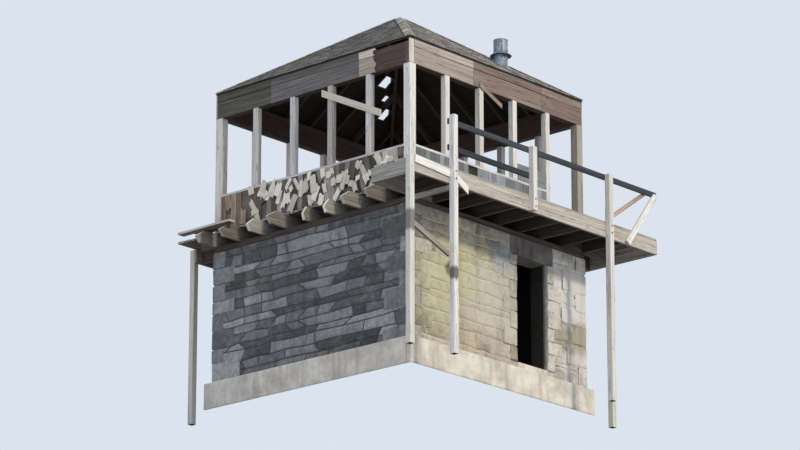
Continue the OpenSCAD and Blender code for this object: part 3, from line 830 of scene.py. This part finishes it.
def facing(name, near_end, far_end, axis, finish, seed, *nodes, **breaks):
    """A length of facing at the front or the left: a wide board, with the eave strip over it."""
    rows, ends = [], (near_end + 0.002, far_end - 0.002)
    for face, low, high in ((-half + 0.006, facing_low, facing_top - EAVE_STRIP - 0.003),
                            (-half, facing_top - EAVE_STRIP, facing_top)):
        rows.append((*box_on(axis, ends, (face, -half + 0.03), (low, high)), breaks))
    boards(name, rows, finish, "facing_timber", *nodes, seed=seed, warp=0.004)


facing("front_facing_near", front_left, -0.6, 0, tan_facing, 61, "front_facing")
facing("front_facing_middle", -0.6, 1.1, 0, brown_facing, 63)
facing("front_facing_right", 1.1, front_right, 0, brown_facing, 64)
near, far = (corner.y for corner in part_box("left_facing"))
facing("left_facing_near", near, near + 0.42, 1, broken_wood, 62, "left_facing", start=0.16)
facing("left_facing_middle", near + 0.42, 0.9, 1, dark_facing, 65)
facing("left_facing_far", 0.9, far, 1, mossy_facing, 66)
eased("rear_facings", dark_facing, "dark_timber", 0.004)

# Roof: depth of the slab and of its boards, the boards' rows, and the shingles' courses
ROOF_DEPTH = 0.045
SHEATHING = 0.02
FIRST_ROW = -0.008
ROW = 0.12
EXPOSURE = 0.14
SHINGLE = 0.3
OVERHANG = 0.025
RAGGED = 0.004
PIPE_RADIUS = 0.12
PIPE_HOLE = PIPE_RADIUS + 0.005
QUARTER = math.pi / 2

# The pitch, found from the slab's box and its depth
pitch = (roof_peak - roof_low) / half
for _ in range(6):
    pitch = (roof_peak - roof_low - ROOF_DEPTH * math.hypot(1, pitch)) / half
eave = roof_peak - pitch * half
steep = math.atan(pitch)
slope_length = half / math.cos(steep)


def on_slope(turn):
    """From a slope's own lines, along the eave, up the slope and out of the roof, to the tower's."""
    up = Vector((0, math.cos(steep), math.sin(steep)))
    out = Vector((0, -math.sin(steep), math.cos(steep)))
    return turned(turn, 4, "Z") @ move((0, -half, eave)) @ lines_up(X, up, out)


def half_width(v):
    """Half the slope's width at a height up the slope."""
    return half - v * math.cos(steep)


def mitred(piece, turn):
    """Sets a covering on its slope and cuts it along both hips."""
    piece.data.transform(on_slope(turn))
    for side in (-1, 1):
        slice_off(piece, (0, 0, 0), turned(turn, 3, "Z") @ Vector((side, 1, 0)))
    return piece


def ragged_edge(draw):
    return [draw(-1, 1) for _ in range(7)]


def wedge(low, high, butt, head, edge):
    """A shingle in its box on the slope. Butt and head give its underside and top at the two ends."""
    made = copy_of(shingle_blank)
    for point in made.data.vertices:
        across, along, top = point.co.x + 0.5, point.co.y + 0.5, point.co.z > 0
        point.co.x = low[0] + (high[0] - low[0]) * across
        point.co.y = low[1] + (high[1] - low[1]) * along
        point.co.z = butt[top] + (head[top] - butt[top]) * along
        if along < 0.01:
            point.co.y += edge[round(across * 10) % len(edge)] * RAGGED
    return made


def sheathing(name, turn, holes):
    """Boards across the rafters, cut plumb at the eave and parted at the roof's holes."""
    draw = random.Random(name).uniform
    parts, v = [], FIRST_ROW
    while v < slope_length - 0.03:
        v0, v1 = (v if v > 0 else -0.03), v + ROW - 0.005
        reach = half_width(v0) + 0.01
        spans = [(-reach, reach)]
        for u0, u1, hole_low, hole_high in holes:
            if v0 < hole_high - 0.01 and v1 > hole_low + 0.01:
                spans = [(a, b) for c, d in spans for a, b in ((c, min(d, u0)), (max(c, u1), d))
                         if b - a > 0.05]
        for a, b in spans:
            parts.append(board((a, v0, -ROOF_DEPTH), (b, v1, SHEATHING - ROOF_DEPTH), draw, 0.001))
        v += ROW
    piece = mitred(joined(parts, name), turn)
    plumb = turned(turn, 3, "Z") @ -Y
    slice_off(piece, plumb * half, plumb)
    hand_over(piece, shade_dark_core, "framing_timber", seed=71)


def shingles(name, turn, holes, node, finish, seed):
    """Shingles in courses, each over the last. A few have slipped and a few are gone."""
    draw = random.Random(seed).uniform
    rows, v = [], -OVERHANG
    while v < slope_length - 0.04:
        parts = []
        u = -half_width(v) - draw(0, 0.1)
        while u < half_width(v):
            wide = draw(0.08, 0.2)
            low_v = v + draw(0, 0.012) - (0.035 if draw(0, 1) < 0.03 and v > 0.2 else 0)
            high_v = min(v + SHINGLE, slope_length - 0.004)
            gone = draw(0, 1) < 0.025
            for u0, u1, hole_low, hole_high in holes:
                if u < u1 and u + wide > u0 and low_v < hole_high and high_v > hole_low:
                    gone |= low_v > hole_low - 0.05 or hole_high - hole_low < 0.2
                    high_v = min(high_v, hole_low)
            if not gone:
                edge = ragged_edge(draw)
                curl = draw(0, 0.003)
                butt, head = (curl - 0.0115, curl - 0.0015), (-0.0245, -0.0215)
                parts.append(wedge((u + 0.002, low_v), (u + wide - 0.002, high_v), butt, head, edge))
            u += wide
        if parts:
            rows.append(mitred(joined(parts, name), turn))
        v += EXPOSURE
    hand_over(joined(rows, name), finish, "shingles", node, seed=seed)


def part_of_slope(x0, y0, x1, y1, turn):
    """The stretch of a slope over a rectangle of the plan: from and to, along and up the slope."""
    ends = [turned(-turn, 3, "Z") @ Vector((x, y, 0)) for x, y in ((x0, y0), (x1, y1))]
    return *sorted(end.x for end in ends), *sorted((half + end.y) / math.cos(steep) for end in ends)


pipe = sum(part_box("stovepipe"), Vector()) / 2
# Holes in the roof by their plan: at the pipe, and three beside the back right hip
holes = {"front": ((pipe.x - PIPE_HOLE, pipe.y - PIPE_HOLE, pipe.x + PIPE_HOLE, pipe.y + PIPE_HOLE),),
         "back": ((0.69, 0.938, 0.89, 1.138), (1.0, 1.239, 1.19, 1.339), (1.22, 1.439, 1.39, 1.64))}
for turns, side in enumerate(("front", "right", "back", "left")):
    turn, node = turns * QUARTER, "roof_" + side
    gaps = [part_of_slope(*plan, turn) for plan in holes.get(side, ())]
    sheathing(node + "_sheathing", turn, gaps)
    # The left slope takes the darker shingles, which are painted shade
    finish = shade_darkened_shingles if side == "left" else shingle_wood
    shingles(node + "_shingles", turn, gaps, node, finish, 72 + turns)

# Pairs of narrow shingles over each hip, from the eave nearly to the peak
draw = random.Random(77).uniform
run = math.hypot(half, slope_length)
parts = []
for turns in range(4):
    for side in (-1, 1):
        along = Vector((-side * half, slope_length, 0)) / run
        across = Vector((-side * slope_length, -half, 0)) / run
        place = on_slope(turns * QUARTER) @ move((side * half, 0, 0)) @ lines_up(across, along, Z)
        t = -0.01
        while t < run - 0.2:
            top = min(t + 0.24, run - 0.06)
            cap = wedge((-0.004, t), (0.085, top), (0.001, 0.011), (0, 0.004), ragged_edge(draw))
            cap.data.transform(place)
            if side > 0:
                cap.data.flip_normals()
            parts.append(cap)
            t += EXPOSURE * 0.9
hand_over(joined(parts, "hip_caps"), shingle_wood, "shingles", seed=78)

# The sheet pipe in its flashing, with a rolled rim, a band, a lapped seam and a storm collar
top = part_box("stovepipe")[1].z
parts = [welded("stovepipe", "stovepipe_body")]
for z, radius, fat in ((top - 0.006, PIPE_RADIUS - 0.001, 0.006), (top - 0.2, PIPE_RADIUS + 0.001, 0.003)):
    sizes = {"major_segments": 48, "minor_segments": 8, "major_radius": radius, "minor_radius": fat}
    ring = begin(bpy.ops.mesh.primitive_torus_add, "ring", **sizes)
    ring.data.transform(move((pipe.x, pipe.y, z)))
    parts.append(ring)
collar = begin(bpy.ops.mesh.primitive_cone_add, "collar", vertices=48, radius1=PIPE_RADIUS + 0.06,
               radius2=PIPE_RADIUS + 0.002, depth=0.05, end_fill_type="NOTHING")
collar.data.transform(move((pipe.x, pipe.y, eave + pitch * (half + pipe.y) + 0.17)))
modifier(collar, "SOLIDIFY", thickness=0.002, offset=1)
seam_at = move((pipe.x - PIPE_RADIUS * 0.6, pipe.y - PIPE_RADIUS * 0.8, top - 0.2))
seam_turn = turned(math.radians(53.1 + 90), 4, "Z")
seam = copy_of(stone_blank, seam_at @ seam_turn @ Matrix.Diagonal((0.004, 0.014, 0.36, 1)))
piece = joined([*parts, collar, seam], "stovepipe_sheet")
only(piece)
bpy.ops.object.shade_smooth_by_angle(angle=math.radians(35))
hand_over(piece, zinc, "galvanised_steel", "stovepipe")

# Nails and bolts: the radius and height of their heads, and how far nails stand from a board's ends
BOLT = (0.014, 0.01)
NAIL = (0.007, 0.003)
NAIL_INSET = 0.03


def studs(name, places, outward, radius, height):
    """Round heads on faces that look one way, pushed out and drawn in at the top."""
    blank = begin(bpy.ops.mesh.primitive_circle_add, "head", vertices=8, radius=radius, fill_type="NGON")
    edit(blank)
    bpy.ops.mesh.extrude_region_move(TRANSFORM_OT_translate={"value": (0, 0, height)})
    bpy.ops.mesh.inset(thickness=radius * 0.35, depth=height * 0.4)
    bpy.ops.mesh.select_all(action="SELECT")
    bpy.ops.mesh.normals_make_consistent(inside=False)
    mode("OBJECT")
    turn = outward.to_track_quat("Z", "Y").to_matrix().to_4x4()
    heads = [copy_of(blank, move(Vector(at) - outward * height * 0.3) @ turn) for at in places]
    bpy.data.objects.remove(blank)
    hand_over(joined(heads, name), rusty_iron, "galvanised_steel")


# Two bolts where each post passes the rim
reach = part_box("front_rim")[0].y
fronts, backs, rights = [], [], []
for _, at in board_points(tall_posts.data) + board_points(short_posts.data):
    low, high = at.min(0), at.max(0)
    x, y = (low[:2] + high[:2]) / 2
    for z in (floor_under - 0.05, floor_under - 0.17):
        if not low[2] < z < high[2]:
            continue
        if low[1] < reach - 0.02:
            fronts.append((x, low[1], z))
        elif high[1] > 0.02 - reach:
            backs.append((x, high[1], z))
        elif high[0] > deck_edge + 0.02:
            rights.append((high[0], y, z))
studs("front_post_bolts", fronts, -Y, *BOLT)
studs("back_post_bolts", backs, Y, *BOLT)
studs("right_post_bolts", rights, X, *BOLT)

# Two nails near each end of every board of the catwalk
for name in ("front_walk", "right_walk", "back_walk"):
    places = []
    for _, at in board_points(floors[name].data):
        low, high = Vector(at.min(0)), Vector(at.max(0))
        size, middle = high - low, (low + high) / 2
        along = 0 if size.x > size.y else 1
        for end, side in ((-1, -1), (-1, 1), (1, -1), (1, 1)):
            place = Vector((middle.x, middle.y, high.z))
            place[along] += end * (size[along] / 2 - NAIL_INSET)
            place[1 - along] += side * size[1 - along] * 0.3
            places.append(place)
    studs(name + "_nails", places, Z, *NAIL)

# Stage, lights and camera
background = linear("#dbe4ee")

# A pale floor. Seen from under it, only the patch below the tower shows, in the background's colour
pale, glowing = (new_material(name)[0] for name in ("pale_floor", "floor_patch_background"))
for material in (pale, glowing):
    material.node_tree.nodes.clear()
paint = add(pale, "BsdfDiffuse", {"Color": linear("#d3d6da")})
clear = add(pale, "BsdfTransparent")
behind = add(pale, "NewGeometry", out="Backfacing")
seen = add(pale, "LightPath", out="Is Camera Ray")
both = add(pale, "Math", {0: behind, 1: seen}, operation="MULTIPLY")
add(pale, "OutputMaterial", {"Surface": add(pale, "MixShader", {0: both, 1: paint, 2: clear})})
glow = add(glowing, "Emission", {"Color": background, "Strength": 1.0})
add(glowing, "OutputMaterial", {"Surface": glow})
foot, far = half + 0.1, deck_edge + 0.15
for name, material, height, x0, y0, x1, y1 in (
        ("floor", pale, -0.002, -300, -300, 300, 300),
        ("floor_patch", glowing, -0.004, -foot, -foot, foot, foot),
        ("floor_patch", glowing, -0.004, -1, foot, far, far),
        ("floor_patch", glowing, -0.004, foot, 0.9, far, foot)):
    flat = begin(bpy.ops.mesh.primitive_plane_add, name, size=1)
    middle = ((x0 + x1) / 2, (y0 + y1) / 2, height)
    flat.data.transform(move(middle) @ Matrix.Diagonal((x1 - x0, y1 - y0, 1, 1)))
    flat.data.materials.append(material)

world = bpy.data.worlds.new("studio")
scene.world = world
world.use_nodes = True
world.node_tree.nodes.clear()
path = add(world, "LightPath").node.outputs
seen = add(world, "Math", {0: path["Is Camera Ray"], 1: path["Is Glossy Ray"]}, operation="MAXIMUM")
seen = add(world, "Math", {0: seen, 1: path["Is Transmission Ray"]}, operation="MAXIMUM")
shown = add(world, "Background", {"Color": background, "Strength": 1.0})
light = add(world, "Background", {"Color": linear("#dde7f6"), "Strength": 0.62})
add(world, "OutputWorld", {"Surface": add(world, "MixShader", {0: seen, 1: light, 2: shown})})


def lamp(name, towards, energy, colour, softness):
    """A sun lamp. Its softness is the angle that it fills in the sky, in degrees."""
    data = bpy.data.lights.new(name, "SUN")
    data.energy = energy
    data.color = linear(colour)[:3]
    data.angle = math.radians(softness)
    made = placed(name, data)
    made.rotation_euler = Vector(towards).to_track_quat("-Z", "Y").to_euler()


lamp("key_light", (0.02, 0.84, -0.55), 1.96, "#fff4e4", 6)
lamp("side_light", (-0.84, -0.25, -0.4), 0.9, "#fff8ee", 40)
lamp("fill_light", (0.8, 0.35, -0.3), 0.6, "#e9f0fb", 60)

camera_data = bpy.data.cameras.new("camera")
camera = placed("camera", camera_data)
# From below, in front of the near corner, as in the photo
camera.location = (-45.44, -40.75, -15.72)
aim = Vector((0.004, -0.004, 3.17)) - camera.location
camera.rotation_euler = aim.to_track_quat("-Z", "Y").to_euler()
camera_data.lens = 176
camera_data.clip_end = 2000
bpy.context.scene.camera = camera

for blank in (board_blank, shingle_blank, stone_blank):
    bpy.data.objects.remove(blank)
bpy.context.scene.view_settings.view_transform = "Standard"
